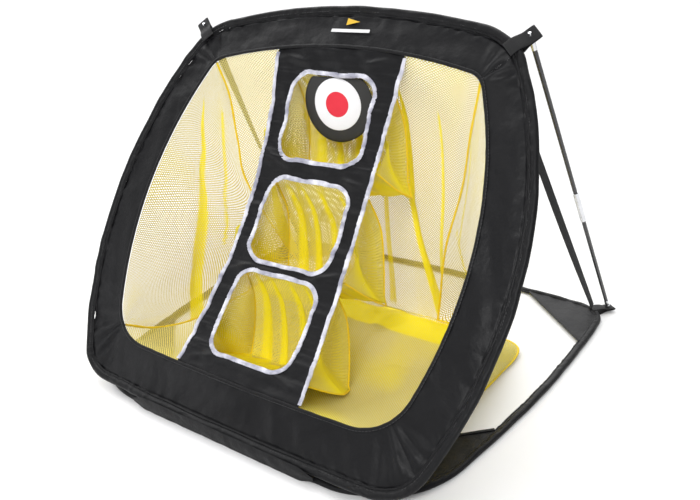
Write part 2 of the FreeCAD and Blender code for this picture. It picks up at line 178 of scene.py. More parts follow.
class Plane:
    def __init__(self, origin, up, back):
        self.origin = np.array(origin, float)
        self.axes = np.array([(1, 0, 0), up, back], float)

    def flat(self, points):
        return (points - self.origin) @ self.axes.T

    def node(self, name):
        return self.flat(node_points(name))

    def edges(self, name):
        """The two flat ends of each of a node's edges."""
        ends = self.node(name)[:, :2][node_table(name, "edges", "vertices", int, 2)]
        return ends[:, 0], ends[:, 1]

    def place(self, x, s, b=0.0):
        return self.origin + np.stack(np.broadcast_arrays(x, s, b), -1) @ self.axes


def middle(name):
    low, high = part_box(name)
    return np.array((low + high) / 2)


def lean():
    """The front hoop's slope, from the boxes round the two wires."""
    low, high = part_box("base_spring_hoop")
    thick = high.z - low.z
    low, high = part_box("front_spring_hoop")
    return math.atan2(high.z - low.z - thick, high.y - low.y - thick)


LEAN = lean()
BEHIND = np.array((0, math.sin(LEAN), -math.cos(LEAN)))
FRONT = Plane(FRONT_HINGE, (0, math.cos(LEAN), math.sin(LEAN)), BEHIND)
GROUND = Plane((0, 0, middle("base_spring_hoop")[2]), (0, 1, 0), (0, 0, -1))


def rim(name, plane, outer=True, count=1200):
    """A node's outer or inner outline on a plane, anticlockwise from its lowest point."""
    flat = plane.node(name)[:, :2]
    centre = (flat.min(0) + flat.max(0)) / 4 + flat.mean(0) / 2
    first, last = plane.edges(name)
    start, run = first - centre, last - first
    turn = np.linspace(-0.5 * np.pi, 1.5 * np.pi, 1440, endpoint=False)
    way = np.stack([np.cos(turn), np.sin(turn)], 1)
    slant = way[:, :1] * run[:, 1] - way[:, 1:] * run[:, 0]
    crosses = np.abs(slant) > 1e-7
    slant = np.where(crosses, slant, 1)
    far = (start[:, 0] * run[:, 1] - start[:, 1] * run[:, 0]) / slant
    along = (start[:, 0] * way[:, 1:] - start[:, 1] * way[:, :1]) / slant
    hit = crosses & (along >= 0) & (along <= 1) & (far > 0)
    reach = np.where(hit, far, -np.inf).max(1) if outer else np.where(hit, far, np.inf).min(1)
    return evenly(centre + way * reach[:, None], count, closed=True)


def inward(line):
    """Unit normals to the left of an anticlockwise closed line."""
    ahead = unit(np.roll(line, -2, 0) - np.roll(line, 2, 0))
    return np.stack([-ahead[:, 1], ahead[:, 0]], 1)


def inset(line, distance):
    return line + inward(line) * np.reshape(distance, (-1, 1))


def nearest(line, point):
    return int(np.argmin(np.linalg.norm(line - np.asarray(point), axis=1)))


def stretch(line, start, end):
    """Part of a closed line, from the point nearest the start on to the one nearest the end."""
    first, last = nearest(line, start), nearest(line, end)
    return line[(first + np.arange((last - first) % len(line) + 1)) % len(line)]


def wire_line(name, plane):
    return (rim(name, plane) + rim(name, plane, False)) / 2


FRONT_LINE = wire_line("front_spring_hoop", FRONT)
BASE_LINE = wire_line("base_spring_hoop", GROUND)
OPENING = rim("opening_binding", FRONT, False)
COLUMN = FRONT.node("column_panel")
COLUMN_BY_HEIGHT = COLUMN[np.argsort(COLUMN[:, 1])]


# ---- materials ----
class Nodes:
    """A node tree under construction. A linked value is a socket, and a plain one is set."""

    def __init__(self, tree):
        self.tree = tree

    def node(self, kind, settings=None, **values):
        made = self.tree.nodes.new(kind)
        for key, value in (settings or {}).items():
            setattr(made, key, value)
        self.fill(made, values)
        return made

    def fill(self, made, values):
        """Sets sockets by name, with _ for a space, or by number, as i0 or i1."""
        for key, value in values.items():
            socket = made.inputs[int(key[1:]) if key[1:].isdigit() else key.replace("_", " ")]
            if isinstance(value, bpy.types.NodeSocket):
                self.tree.links.new(value, socket)
            else:
                socket.default_value = value

    def maths(self, operation, *values):
        numbered = {f"i{index}": value for index, value in enumerate(values)}
        return self.node("ShaderNodeMath", {"operation": operation}, **numbered).outputs[0]


class Paint(Nodes):
    """A material under construction."""

    def __init__(self, name):
        self.material = bpy.data.materials.new(name)
        self.material.use_nodes = True
        super().__init__(self.material.node_tree)
        self.shader = self.tree.nodes["Principled BSDF"]
        self.flat = self.node("ShaderNodeUVMap").outputs[0]
        self.solid = self.node("ShaderNodeTexCoord").outputs["Object"]

    def noise(self, where, scale, detail=3.0):
        return self.node("ShaderNodeTexNoise", Vector=where, Scale=scale, Detail=detail).outputs[0]

    def spread(self, value, low, high):
        """A 0 to 1 value stretched to run from low to high."""
        return self.node("ShaderNodeMapRange", Value=value, To_Min=low, To_Max=high).outputs[0]

    def blend(self, share, first, second):
        made = self.node("ShaderNodeMix", {"data_type": "RGBA"}, Factor=share)
        self.fill(made, {"i6": rgba(first), "i7": rgba(second)})
        return made.outputs[2]

    def stripes(self, value, pitch):
        turns = self.maths("MULTIPLY", value, 2 * math.pi / pitch)
        return self.spread(self.maths("SINE", turns), 0.5, 1.0)

    def across(self):
        """The flat cut's two coordinates."""
        return self.node("ShaderNodeSeparateXYZ", Vector=self.flat).outputs

    def weave(self, pitch):
        """Threads both ways."""
        parts = self.across()
        return self.maths("MULTIPLY", self.stripes(parts[0], pitch), self.stripes(parts[1], pitch))

    def stretched(self, scale):
        return self.node("ShaderNodeMapping", Vector=self.solid, Scale=scale).outputs[0]

    def bump(self, height, distance, strength=0.6, under=None):
        made = self.node("ShaderNodeBump", Height=height, Distance=distance, Strength=strength)
        if under is not None:
            self.fill(made, {"Normal": under})
        return made.outputs[0]

    def done(self, colour, roughness, normal=None, **fixed):
        self.fill(self.shader, {"Base_Color": rgba(colour), "Roughness": roughness, **fixed})
        if normal is not None:
            self.fill(self.shader, {"Normal": normal})
        return self.material


def rgba(colour):
    return colour if isinstance(colour, bpy.types.NodeSocket) else (*colour, 1)


def woven(name, dark, light, roughness, sheen):
    """Plain weave cloth with uneven dye, faint creases and threads both ways."""
    paint = Paint(name)
    cloudy = paint.noise(paint.solid, 9.0, 5.0)
    fine = paint.noise(paint.flat, 900.0, 2.0)
    colour = paint.blend(paint.maths("MULTIPLY_ADD", fine, 0.5, 0.5), dark, light)
    colour = paint.blend(cloudy, colour, paint.blend(0.5, dark, light))
    normal = paint.bump(paint.noise(paint.solid, 55.0, 5.0), 2.5 * MM)
    normal = paint.bump(paint.weave(NYLON_THREAD), NYLON_THREAD * 0.3, 0.35, normal)
    rough = paint.spread(cloudy, roughness - 0.08, roughness + 0.1)
    return paint.done(colour, rough, normal, Sheen_Weight=sheen, Sheen_Roughness=0.4,
                      Specular_IOR_Level=0.19)


def satin(name):
    """White satin bias binding with fine ribs across. Its colour goes grey in noise patches: painted shade
    standing in for the shade of its puckers.
    """
    paint = Paint(name)
    cloudy = paint.noise(paint.solid, 60.0, 4.0)
    # painted shade: the same noise that lifts the bump darkens the white binding to grey in patches
    colour = paint.blend(paint.spread(cloudy, -1.0, 2.0), (0.78, 0.78, 0.86), (0.30, 0.30, 0.38))
    normal = paint.bump(cloudy, 1.6 * MM, 0.7)
    normal = paint.bump(paint.stripes(paint.across()[0], 0.8 * MM), 0.15 * MM, 0.4, normal)
    return paint.done(colour, paint.spread(cloudy, 0.38, 0.55), normal, Sheen_Weight=0.3)


def netting(name, thin_painted_shade, thick):
    """Knitted diamond mesh with open holes. Gathered cloth closes up. Its colour runs from a darker, duller yellow
    on single threads, painted shade of backlit yarn, to the full yellow of gathered folds, made bright as painted
    light shining through the layers.
    """
    paint = Paint(name)
    gather = paint.node("ShaderNodeAttribute", {"attribute_name": "gather"}).outputs["Fac"]
    parts = paint.across()
    from_thread = []
    for operation in ("ADD", "SUBTRACT"):
        slant = paint.maths(operation, parts[0], parts[1])
        cell = paint.maths("FRACT", paint.maths("MULTIPLY_ADD", slant, 0.5 / NET_PITCH, 0.5))
        from_thread.append(paint.maths("ABSOLUTE", paint.maths("SUBTRACT", cell, 0.5)))
    off = paint.maths("MINIMUM", *from_thread)
    solid = paint.maths("LESS_THAN", off, paint.maths("MULTIPLY_ADD", gather, 0.30, 0.19))
    cloudy = paint.noise(paint.solid, 14.0)
    # painted light: gather blends the single threads' painted shade into the folds' bright yellow, which stands in
    # for light through the layers
    colour = paint.blend(paint.maths("MULTIPLY", gather, paint.spread(cloudy, 1.5, 2.3)), thin_painted_shade, thick)
    normal = paint.bump(paint.maths("SUBTRACT", 0.5, off), 0.4 * MM, 0.5)
    return paint.done(colour, paint.spread(cloudy, 0.5, 0.7), normal, Alpha=solid, Specular_IOR_Level=0.25)


def webbing(name, colour, lighter):
    """Ribbed strap webbing with a herringbone."""
    paint = Paint(name)
    parts = paint.across()
    slant = paint.maths("ADD", parts[0], paint.maths("PINGPONG", parts[1], 1.6 * MM))
    ribs = paint.stripes(slant, 1.1 * MM)
    cloudy = paint.noise(paint.solid, 40.0, 4.0)
    mixed = paint.blend(paint.maths("MULTIPLY", ribs, cloudy), colour, lighter)
    return paint.done(mixed, paint.spread(cloudy, 0.5, 0.7), paint.bump(ribs, 0.3 * MM, 0.7),
                      Sheen_Weight=0.05, Specular_IOR_Level=0.25)


def cord_yarn(name, dark, light):
    """Twisted seam cord or thread."""
    paint = Paint(name)
    parts = paint.across()
    twist = paint.stripes(paint.maths("ADD", parts[0], parts[1]), 1.5 * MM)
    cloudy = paint.noise(paint.solid, 70.0)
    colour = paint.blend(paint.maths("MULTIPLY", twist, cloudy), dark, light)
    return paint.done(colour, paint.spread(cloudy, 0.55, 0.75), paint.bump(twist, 0.3 * MM))


def metal(name, colour, roughness, scratch):
    """Plated or drawn steel with fine scratches and a little tarnish."""
    paint = Paint(name)
    lines = paint.noise(paint.stretched((1.0, 1.0, 0.08)), 1800.0, 2.0)
    tarnish = paint.noise(paint.solid, 90.0, 4.0)
    shade = paint.blend(tarnish, colour, tuple(0.78 * part for part in colour))
    rough = paint.maths("ADD", paint.spread(tarnish, roughness - 0.06, roughness + 0.1),
                        paint.spread(lines, -0.03, 0.04))
    return paint.done(shade, rough, paint.bump(lines, scratch, 0.3), Metallic=1.0)


def coated(name):
    """Gloss black pole: pultruded glass fibre with long faint streaks and rubbed patches."""
    paint = Paint(name)
    streaks = paint.noise(paint.stretched((60.0, 60.0, 3.0)), 6.0)
    rubbed = paint.noise(paint.solid, 35.0, 5.0)
    colour = paint.blend(rubbed, (0.010, 0.010, 0.011), (0.028, 0.028, 0.031))
    rough = paint.spread(paint.maths("MULTIPLY", streaks, rubbed), 0.18, 0.5)
    return paint.done(colour, rough, paint.bump(streaks, 0.1 * MM, 0.3), Coat_Weight=0.3)


def printed(name, colour, worn):
    """Printed cloth of the target, with a canvas grain that shows through the ink."""
    paint = Paint(name)
    cloudy = paint.noise(paint.solid, 45.0, 5.0)
    mixed = paint.blend(paint.maths("MULTIPLY", cloudy, 0.7), colour, worn)
    normal = paint.bump(paint.weave(PRINT_THREAD), 0.2 * MM, 0.35)
    return paint.done(mixed, paint.spread(cloudy, 0.5, 0.7), normal)


MADE_BY = {
    "black_nylon": (woven, (0.0035, 0.0035, 0.0040), (0.009, 0.009, 0.0104), 0.38, 0.01),
    "black_hem": (woven, (0.003, 0.003, 0.0035), (0.009, 0.009, 0.0102), 0.42, 0.02),
    "black_webbing": (webbing, (0.005, 0.005, 0.0055), (0.016, 0.016, 0.018)),
    "white_binding": (satin,),
    # single threads darkened and dulled as painted shade of backlit yarn; gathered yarn yellow, brightened as
    # painted light through the layers
    "yellow_mesh": (netting, (0.70, 0.60, 0.24), (0.99, 0.86, 0.03)),
    "amber_seam": (cord_yarn, (0.95, 0.64, 0.01), (0.99, 0.84, 0.03)),
    "black_thread": (cord_yarn, (0.02, 0.02, 0.02), (0.05, 0.05, 0.055)),
    "elastic_cord": (cord_yarn, (0.6, 0.6, 0.58), (0.88, 0.88, 0.85)),
    "spring_steel": (metal, (0.42, 0.42, 0.45), 0.36, 0.05 * MM),
    "bright_steel": (metal, (0.78, 0.79, 0.82), 0.22, 0.03 * MM),
    "pole_black": (coated,),
    "target_gold": (printed, (0.78, 0.50, 0.03), (0.60, 0.36, 0.02)),
    "white_print": (printed, (0.85, 0.85, 0.86), (0.70, 0.70, 0.72)),
    "target_black": (printed, (0.012, 0.012, 0.012), (0.035, 0.034, 0.033)),
    "target_white": (printed, (0.90, 0.90, 0.93), (0.80, 0.80, 0.84)),
    "target_red": (printed, (0.80, 0.018, 0.045), (0.62, 0.012, 0.03)),
}
MATERIALS = {name: make(name, *values) for name, (make, *values) in MADE_BY.items()}


# ---- mesh making ----
def piece(name, points, faces, uv, look, body, stands_for=()):
    """A mesh object that rides on a body, with its flat cut as its UV map in metres."""
    mesh = bpy.data.meshes.new(name)
    mesh.from_pydata(np.asarray(points).reshape(-1, 3).tolist(), [], faces)
    mesh.polygons.foreach_set("use_smooth", [True] * len(mesh.polygons))
    owner = np.empty(len(mesh.loops), int)
    mesh.loops.foreach_get("vertex_index", owner)
    layer = mesh.uv_layers.new(name="flat")
    layer.data.foreach_set("uv", np.asarray(uv, float).reshape(-1, 2)[owner].ravel())
    mesh.materials.append(MATERIALS[look])
    made = bpy.data.objects.new(name, mesh)
    bpy.context.scene.collection.objects.link(made)
    if body:
        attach(made, body)
    if stands_for:
        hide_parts(*stands_for)
    return made


def fold_flat(made):
    """Gives the piece its own copy of its mesh."""
    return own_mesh(made)


def grid_faces(rows, columns):
    first = np.arange(rows * columns).reshape(rows, columns)
    corners = [first[:-1, :-1], first[1:, :-1], first[1:, 1:], first[:-1, 1:]]
    return np.stack(corners, -1).reshape(-1, 4).tolist()


def grid_uv(points):
    """A grid's own mean lengths along its rows and columns, as UV in metres."""
    down = np.linalg.norm(np.diff(points, axis=0), axis=2).mean(1)
    across = np.linalg.norm(np.diff(points, axis=1), axis=2).mean(0)
    return crossed(*(np.concatenate([[0], np.cumsum(steps)]) for steps in (down, across)))


def grid_piece(name, points, look, body, stands_for=(), uv=None):
    uv = grid_uv(points) if uv is None else uv
    return piece(name, points, grid_faces(*points.shape[:2]), uv, look, body, stands_for)


def inside(points, loop):
    """Which points lie inside a closed loop."""
    x, y = points[:, :1], points[:, 1:]
    ax, ay = loop[:, 0], loop[:, 1]
    bx, by = np.roll(ax, -1), np.roll(ay, -1)
    rise = np.where(np.abs(by - ay) < 1e-12, 1e-12, by - ay)
    crosses = ((ay > y) != (by > y)) & (x < ax + (y - ay) * (bx - ax) / rise)
    return crosses.sum(1) % 2 == 1


def on_cloth(points, loops):
    """Which points lie inside the first loop and outside the others."""
    keep = inside(points, loops[0])
    for hole in loops[1:]:
        keep &= ~inside(points, hole)
    return keep


def cut_cloth(outer, holes=(), spacing=STEP):
    """Flat triangles inside the outer loop and outside the holes: points and faces."""
    loops = [evenly(loop, max(12, int(lengths(loop)[-1] / spacing)), closed=True)
             for loop in (outer, *holes)]
    low, high = loops[0].min(0), loops[0].max(0)
    x, y = np.meshgrid(np.arange(low[0], high[0], spacing), np.arange(low[1], high[1], spacing * 0.87))
    x = x + (np.arange(len(x)) % 2 * spacing / 2)[:, None]
    lattice = np.stack([x.ravel(), y.ravel()], 1)
    lattice = lattice[on_cloth(lattice, loops)]
    edge = np.concatenate(loops)
    apart = np.array([np.min(np.hypot(*(edge - point).T)) for point in lattice])
    lattice = lattice[apart > spacing * 0.55]
    links, first = [], 0
    for loop in loops:
        count = len(loop)
        links += [(first + i, first + (i + 1) % count) for i in range(count)]
        first += count
    points = [Vector(point) for point in np.concatenate([edge, lattice])]
    made, _, faces, *_ = delaunay_2d_cdt(points, links, [], 0, 1e-7)
    points, faces = np.array([tuple(point) for point in made]), np.array(faces)
    return points, faces[on_cloth(points[faces].mean(1), loops)].tolist()


def flat_area(points, faces):
    """Area of flat triangles or quads."""
    total = 0.0
    for face in faces:
        x, y = points[list(face)].T
        total += 0.5 * abs(np.dot(x, np.roll(y, -1)) - np.dot(y, np.roll(x, -1)))
    return total


def declare(flat, faces):
    """Works out the flat size a sheet was cut from, taking a curved strip as a straight one; the result is neither
    kept nor returned.
    """
    area = flat_area(flat, faces)
    width, length = flat.max(0) - flat.min(0)
    if area / (width * length) < 0.3:
        width, length = max(width, length), area / max(width, length) * 1.02


def tube(name, line, radius, look, body, sides):
    """A round cord along points, with a radius for each point."""
    ahead = unit(np.gradient(line, axis=0))
    side = unit(np.cross(ahead, np.array((0.05, 0.1, 1.0))))
    top = np.cross(side, ahead)
    turn = np.linspace(0, 2 * np.pi, sides + 1)
    ring = np.cos(turn)[None, :, None] * side[:, None] + np.sin(turn)[None, :, None] * top[:, None]
    points = line[:, None] + ring * radius[:, None, None]
    return grid_piece(name, points, look, body, (), crossed(lengths(line), turn * radius.mean()))


def loop_sweep(name, place, line, section, look, body, stands_for=()):
    """A band along a closed line on a surface. Section is (stations or 1, points, 2): inwards, forwards."""
    closed = np.vstack([line, line[:1]])
    into = inward(line)
    into = np.vstack([into, into[:1]])
    if len(section) > 1:
        section = np.concatenate([section, section[:1]])
    x = closed[:, :1] + into[:, :1] * section[..., 0]
    s = closed[:, 1:] + into[:, 1:] * section[..., 0]
    uv = crossed(lengths(closed), lengths(section.mean(0)))
    return grid_piece(name, place(x, s, -section[..., 1]), look, body, stands_for, uv)


def oval(points, half_width, half_thick, centre=0.0):
    turn = np.linspace(0, 2 * np.pi, points)
    return np.stack([centre - half_width * np.cos(turn), half_thick * np.sin(turn)], -1)[None]


def strap(name, line, across, width, thick, body, stands_for=(), look="black_webbing"):
    """Flat webbing along a line, with rounded edges. Across is the way its width runs."""
    across = unit(np.broadcast_to(across, line.shape))
    ahead = unit(np.gradient(line, axis=0))
    across = unit(across - ahead * (across * ahead).sum(1)[:, None])
    face = np.cross(ahead, across)
    turn = np.linspace(0, 2 * np.pi, 17)
    wide = np.sign(np.cos(turn)) * np.abs(np.cos(turn)) ** 0.35 * width / 2
    deep = np.sign(np.sin(turn)) * np.abs(np.sin(turn)) ** 0.8 * thick / 2
    points = line[:, None] + across[:, None] * wide[None, :, None] + face[:, None] * deep[None, :, None]
    return grid_piece(name, points, look, body, stands_for, crossed(lengths(line), wide))


def loop_stitches(name, plane, line, distance, height, body):
    """A row of raised stitches, each a little bar, at a distance inside a closed line on a plane."""
    path = evenly(inset(line, distance), int(lengths(line)[-1] / STITCH_PITCH), closed=True)
    ahead = unit(np.roll(path, -1, 0) - np.roll(path, 1, 0))
    places = plane.place(path[:, 0], path[:, 1], -height)
    ahead = ahead[:, :1] * plane.axes[0] + ahead[:, 1:] * plane.axes[1]
    face = np.broadcast_to(-plane.axes[2], ahead.shape)
    corners = np.array([(i, j, k) for i in (-1, 1) for j in (-1, 1) for k in (-1, 1)]) * STITCH_HALF
    axes = np.stack([unit(ahead), unit(np.cross(ahead, face)), unit(face)], 1)
    points = places[:, None] + np.einsum("cd,nde->nce", corners, axes)
    box = np.array([(0, 1, 3, 2), (4, 6, 7, 5), (0, 4, 5, 1), (2, 3, 7, 6), (0, 2, 6, 4), (1, 5, 7, 3)])
    faces = (box[None] + 8 * np.arange(len(places))[:, None, None]).reshape(-1, 4).tolist()
    piece(name, points, faces, np.tile(corners[:, :2], (len(places), 1)), "black_thread", body)


# ---- hems ----
HEM_PUCKER, HEM_BUNCH, HEM_SWAY = 6.0 * MM, 19.0 * MM, 30.0 * MM      # lengths of the hem's waves
FOOT = [(0.21, 0.012), (-0.21, 0.012)]      # where the two hoops' hems are gathered together
# half of a hem's outline: how far in it is, and how high
HEM_REACH = (0, 0.04, 0.14, 0.28, 0.42, 0.56, 0.68, 0.76, 0.80, 0.84, 0.92, 1.0)
HEM_HEIGHT = (0, 0.45, 0.82, 1.0, 0.98, 0.84, 0.60, 0.36, 0.16, 0.30, 0.26, 0.12)


def hem_section(line, seed, half, bunch):
    """Cloth folded round the wire, gathered along its seam, with a flat lip inside the seam."""
    reach, height = np.array(HEM_REACH), np.array(HEM_HEIGHT)
    reach = np.concatenate([reach, reach[-2::-1]])[None]
    height = np.concatenate([height, -0.85 * height[-2::-1]])[None]
    length = lengths(np.vstack([line, line[:1]]))[-1]
    along = np.arange(len(line))[:, None] / len(line)
    side = np.sign(height) * 3 + 5
    tight = looped(seed, length, HEM_PUCKER, along, side)
    loose = looped(seed + 1, length, HEM_BUNCH, along, side + 7)
    swell = 1 + bunch[:, None] * (0.34 * tight * smooth(reach * 1.4 - 0.25) + 0.17 * loose)
    sway = 0.6 * MM * looped(seed + 2, length, HEM_SWAY, along)
    inwards = -HEM_OUT + (HEM_OUT + HEM_IN) * reach + sway * bunch[:, None]
    inwards = inwards + 0.5 * MM * tight * smooth(reach * 3 - 2) * bunch[:, None]
    return np.stack(np.broadcast_arrays(inwards, half * height * swell), -1)


def near_points(line, points, reach):
    """1 beside any of the points and 0 away from them, along a line."""
    close = np.min([np.linalg.norm(line - np.array(point), axis=1) for point in points], 0)
    return np.exp(-(close / reach) ** 2)


def build_hems():
    corners = [FRONT.flat(middle(side + "_front_tab"))[:2] for side in SIDES]
    bunch = 1 + 1.3 * near_points(FRONT_LINE, corners, 0.05) + 0.9 * near_points(FRONT_LINE, FOOT, 0.07)
    section = hem_section(FRONT_LINE, 11, HEM_HALF, bunch)
    loop_sweep("front_hoop_hem", FRONT.place, FRONT_LINE, section, "black_hem", "front",
               ["front_hoop_sleeve"])
    loop_stitches("front_hem_stitches", FRONT, FRONT_LINE, HEM_IN * 0.42, HEM_HALF * 0.5, "front")
    corners = [GROUND.flat(middle(side + "_rear_tab"))[:2] for side in SIDES]
    bunch = 1 + 1.2 * near_points(BASE_LINE, corners, 0.05) + 1.2 * near_points(BASE_LINE, FOOT, 0.08)
    section = hem_section(BASE_LINE, 21, BASE_HEM_HALF, bunch)
    section[..., 1] = np.maximum(section[..., 1], -BASE_HEM_HALF)
    loop_sweep("base_hoop_hem", GROUND.place, BASE_LINE, section, "black_hem", "base",
               ["base_hoop_sleeve"])


# ---- border ----
BORDER_ROWS = np.concatenate([np.linspace(0, 0.72, 16), np.linspace(0.75, 1, 15)])
# creases that fan out of each mitre: spread at the hem in m, depth and width in mm
MITRE_CREASES = ((0.0, 2.0, 2.5), (0.022, 2.8, 3.0), (-0.026, 2.6, 3.5), (0.011, -2.0, 4.0),
                 (-0.013, -2.0, 4.0), (0.048, 1.8, 6.0), (-0.052, 1.7, 6.0))


def mitres():
    """Inner and outer ends of the four mitre seams, anticlockwise from the lower right."""
    found = []
    for name, pick in (("border_bottom", np.argmax), ("border_top", np.argmin)):
        flat = FRONT.node(name)[:, :2]
        right = flat[flat[:, 0] > 0]
        found.append((right[pick(right[:, 1])], right[np.argmax(right[:, 0])]))
    low, high = found
    flip = np.array([-1, 1])
    return [low, high, tuple(end * flip for end in high), tuple(end * flip for end in low)]


def border_relief(x, s, u, v, seed, width):
    """How far the border cloth stands forward: u along the panel and v from binding to hem, 0 to 1."""
    from_hem = (1 - v) * width
    broad = 2.2 * MM * ripple(seed, x / 0.050 + 20, s / 0.038 + 20) * hump(v)
    hem_side = 1.5 * MM * ripple(seed + 1, u / 0.0085, v * 2) * smooth(1 - from_hem / 0.018)
    bound_side = 0.5 * MM * ripple(seed + 2, u / 0.008) * smooth(1 - v * width / 0.010)
    pulled = 1.2 * MM * ripple(seed + 3, (x + 0.35 * s) / 0.014 + 40, (s - 0.2 * x) / 0.060 + 20)
    groove = -1.1 * MM * np.exp(-((from_hem - 2.6 * MM) / (1.2 * MM)) ** 2)
    return broad + hem_side + bound_side + pulled * hump(np.clip(v, 0.02, 0.98)) + groove


def build_border():
    inner = inset(OPENING, -BINDING_WIDTH * 0.7)
    outer = inset(FRONT_LINE, HEM_IN * 0.75)
    ends = mitres()
    v = BORDER_ROWS[None]
    for index, name in enumerate(("border_right", "border_top", "border_left", "border_bottom")):
        start, end = ends[index], ends[(index + 1) % 4]
        near, far = (stretch(line, start[which], end[which]) for which, line in enumerate((inner, outer)))
        length = lengths(far)[-1]
        columns = int(length / STEP)
        near, far = evenly(near, columns), evenly(far, columns)
        width = np.linalg.norm(far - near, axis=1)[:, None]
        flat = near[:, None] * (1 - v[..., None]) + far[:, None] * v[..., None]
        x, s = flat[..., 0], flat[..., 1]
        u = np.linspace(0, length, columns)[:, None] * np.ones_like(v)
        forward = border_relief(x, s, u, v, 31 + 10 * index, width)
        for inner_end, outer_end in (start, end):
            way = unit(outer_end - inner_end)
            across = np.array([-way[1], way[0]])
            for shift, sink, wide in MITRE_CREASES:
                forward = forward - ridge(x, s, inner_end + across * shift * 0.2,
                                          outer_end + across * shift, wide * MM, sink * MM)
        seam = np.minimum(u, length - u)
        forward = forward * smooth(seam / 0.004 + 0.15) - 1.3 * MM * np.exp(-(seam / 0.002) ** 2)
        made = grid_piece(name + "_cloth", FRONT.place(x, s, -forward), "black_nylon", "front", [name], flat)
        declare(flat.reshape(-1, 2), grid_faces(*flat.shape[:2]))


def build_opening_binding():
    count = len(OPENING)
    wave = looped(71, lengths(OPENING)[-1], 8.0 * MM, np.arange(count)[:, None] / count)
    section = oval(13, BINDING_WIDTH / 2, 1.5 * MM, -BINDING_WIDTH / 2)
    section = np.repeat(section, count, 0)
    section[..., 1] *= 1 + 0.18 * wave
    section[..., 0] -= 0.2 * MM * wave
    loop_sweep("opening_edge_binding", FRONT.place, OPENING, section, "black_hem", "front",
               ["opening_binding"])
    loop_stitches("opening_edge_stitches", FRONT, OPENING, -BINDING_WIDTH * 0.82, 1.2 * MM, "front")


# ---- plain mark ----
MARK_RIGHT = 0.012
PENNANT = [(0.011, 0.009), (-0.009, 0.014), (-0.009, 0.004)]
BAR = [(-0.030, -0.006), (0.030, -0.006), (0.030, -0.0015), (-0.030, -0.0015)]


def build_mark():
    """A plain pennant over a plain bar, printed on the top border."""
    middle_s = (FRONT_LINE[:, 1].max() + OPENING[:, 1].max()) / 2
    for name, corners, look in (("mark_pennant", PENNANT, "target_gold"), ("mark_bar", BAR, "white_print")):
        flat, faces = cut_cloth(np.array(corners) + (MARK_RIGHT, middle_s), spacing=1.5 * MM)
        piece(name, FRONT.place(flat[:, 0], flat[:, 1], -MARK_PROUD), faces, flat, look, "front")


# ---- centre column ----
# tension folds of the strip: side, height up the slope, rise over their run and depth in mm
COLUMN_FOLDS = ((-1, 0.352, 0.020, 3.0), (1, 0.348, -0.012, 3.2), (-1, 0.215, -0.020, 2.6),
                (1, 0.208, 0.018, 3.0), (-1, 0.490, 0.016, 2.4), (1, 0.492, 0.014, 2.4),
                (-1, 0.085, -0.014, 2.6), (1, 0.087, -0.012, 2.6))
WINDOWS = ("top", "middle", "bottom")


def column_relief(x, s):
    """Creases of the limp strip."""
    patchy = 0.5 + 0.5 * ripple(80, x / 0.060 + 20, s / 0.055 + 20)
    level = 2.3 * MM * ripple(81, (x + 0.25 * s) / 0.055 + 20, (s - 0.25 * x) / 0.014 + 20) * patchy
    other = 1.7 * MM * ripple(82, (x - 0.3 * s) / 0.040 + 20, (s + 0.3 * x) / 0.018 + 20) * (1.2 - patchy)
    drawn = 1.1 * MM * ripple(83, (x + 0.7 * s) / 0.016 + 30, (s - 0.7 * x) / 0.060 + 30)
    folds = sum(ridge(x, s, (side * 0.040, at), (side * 0.092, at + rise), 3.5 * MM, deep * MM)
                for side, at, rise, deep in COLUMN_FOLDS)
    return level + other + drawn + folds


def on_column(x, s, b=0.0):
    """A place on the creased strip, which hangs back from the front hoop's plane."""
    back = np.interp(s, COLUMN_BY_HEIGHT[:, 1], COLUMN_BY_HEIGHT[:, 2])
    return FRONT.place(x, s, back + b - column_relief(x, s))


def window_line(name, seed):
    """A window's inner edge, drawn out at its corners and slack along its sides."""
    hole = rim("window_binding_" + name, FRONT, False, 400)
    low, high = hole.min(0), hole.max(0)
    across = (hole - (low + high) / 2) / ((high - low) / 2)
    corner = smooth((across[:, 0] ** 2 * across[:, 1] ** 2 - 0.22) / 0.34)
    slack = ripple(seed, np.arange(400) / 400 * 17, 0.0, 17)
    return inset(hole, 1.3 * MM * slack - 1.8 * MM * corner)


def build_column():
    edges = [window_line(name, 90 + index) for index, name in enumerate(WINDOWS)]
    outline = inset(rim("column_panel", FRONT, count=700), -3.5 * MM)
    flat, faces = cut_cloth(outline, [inset(edge, -2.0 * MM) for edge in edges])
    points = on_column(flat[:, 0], flat[:, 1])
    panel = piece("column_cloth", points, faces, flat, "black_nylon", "front", ["column_panel"])
    declare(flat, faces)
    fold_flat(panel)
    for index, (name, edge) in enumerate(zip(WINDOWS, edges)):
        build_window_binding(name, edge, index)
    for side, sign in SIDES.items():
        build_column_tape(side, sign)


def build_window_binding(name, edge, index):
    count = len(edge)
    along = np.arange(count)[:, None] / count
    pucker = looped(91 + index, lengths(edge)[-1], 11.0 * MM, along)
    slow = ripple(95 + index, along * 9, 0.0, 9)
    centre = -2.7 * MM
    section = np.repeat(oval(15, 3.0 * MM, 1.5 * MM, centre), count, 0)
    outside = section[..., 0] < centre
    section[..., 0] += np.where(outside, (0.7 * pucker + 0.5 * slow) * MM, 0.35 * slow * MM)
    section[..., 1] *= 1 + 0.3 * pucker
    section[..., 1] += 0.5 * MM * slow
    fold_flat(loop_sweep(f"window_edge_{name}", on_column, edge, section, "white_binding", "front",
                         ["window_binding_" + name]))


def spans(name, plane, heights):
    """Least and most x of a node at each height."""
    low, high = plane.edges(name)
    found = []
    for height in heights:
        hit = (low[:, 1] - height) * (high[:, 1] - height) <= 0
        a, b = low[hit], high[hit]
        rise = np.where(np.abs(b[:, 1] - a[:, 1]) < 1e-9, 1e-9, b[:, 1] - a[:, 1])
        x = a[:, 0] + np.clip((height - a[:, 1]) / rise, 0, 1) * (b[:, 0] - a[:, 0])
        found.append((x.min(), x.max()))
    return np.array(found)


